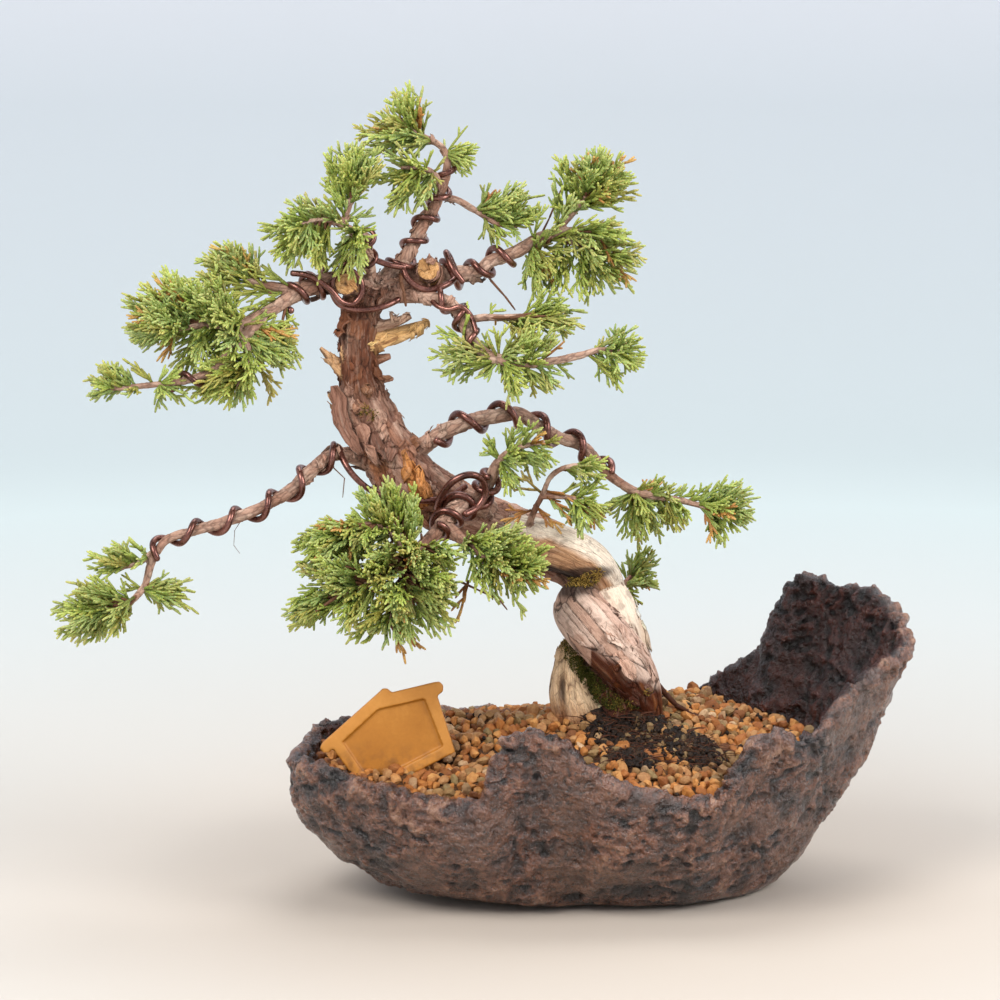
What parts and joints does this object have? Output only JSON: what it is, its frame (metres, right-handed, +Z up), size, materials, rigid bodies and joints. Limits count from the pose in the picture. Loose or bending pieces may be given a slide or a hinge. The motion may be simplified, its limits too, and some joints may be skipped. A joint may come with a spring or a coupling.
{
  "type": "bonsai tree in a pot",
  "caption": "Wired juniper bonsai with a leaning, twisted trunk, slender branches and small foliage pads, in a rugged boat-shaped rock-like pot of granular soil with a blank house-shaped label.",
  "frame": {"origin": "middle of the flat foot under the pot, on the surface it stands on", "axes": "+X along the pot towards its high end, +Z up, the tree's front faces -Y"},
  "size_m": [0.3135, 0.1446, 0.2975],
  "materials": {
    "pot": "rough rock-like stoneware with a dull sheen, dark brown with orange-brown highlights",
    "net": "matte black mesh",
    "soil": "baked clay granules, orange to olive brown, matte",
    "label": "mustard yellow, satin, blank",
    "wood": "cracked plated bark, grey brown to reddish, with pale peeled deadwood",
    "wire": "brown anodised, shiny",
    "foliage": "living green scale foliage with lighter tips and a few brown ones"
  },
  "bodies": {
    "root": {"pot": "pot", "drain_net_left": "net", "drain_net_right": "net", "soil": "soil", "label": "label", "tree_wood": "wood", "wire_low_left": "wire", "wire_mid_right": "wire", "wire_front": "wire", "wire_mid": "wire", "wire_upper_left": "wire", "wire_left_tip": "wire", "wire_apex": "wire", "wire_crown_left": "wire", "wire_upper_right": "wire", "wire_right_under": "wire", "foliage_low_left": "foliage", "foliage_low_left_top": "foliage", "foliage_upper_left": "foliage", "foliage_upper_left_top": "foliage", "foliage_left_tip": "foliage", "foliage_crown_left": "foliage", "foliage_apex": "foliage", "foliage_apex_inner": "foliage", "foliage_upper_right": "foliage", "foliage_upper_right_twig": "foliage", "foliage_right_under": "foliage", "foliage_right_under_twig": "foliage", "foliage_mid_right": "foliage", "foliage_mid": "foliage", "foliage_mid_low": "foliage", "foliage_front": "foliage", "foliage_front_right": "foliage", "foliage_back": "foliage"}
  },
  "joints": []
}
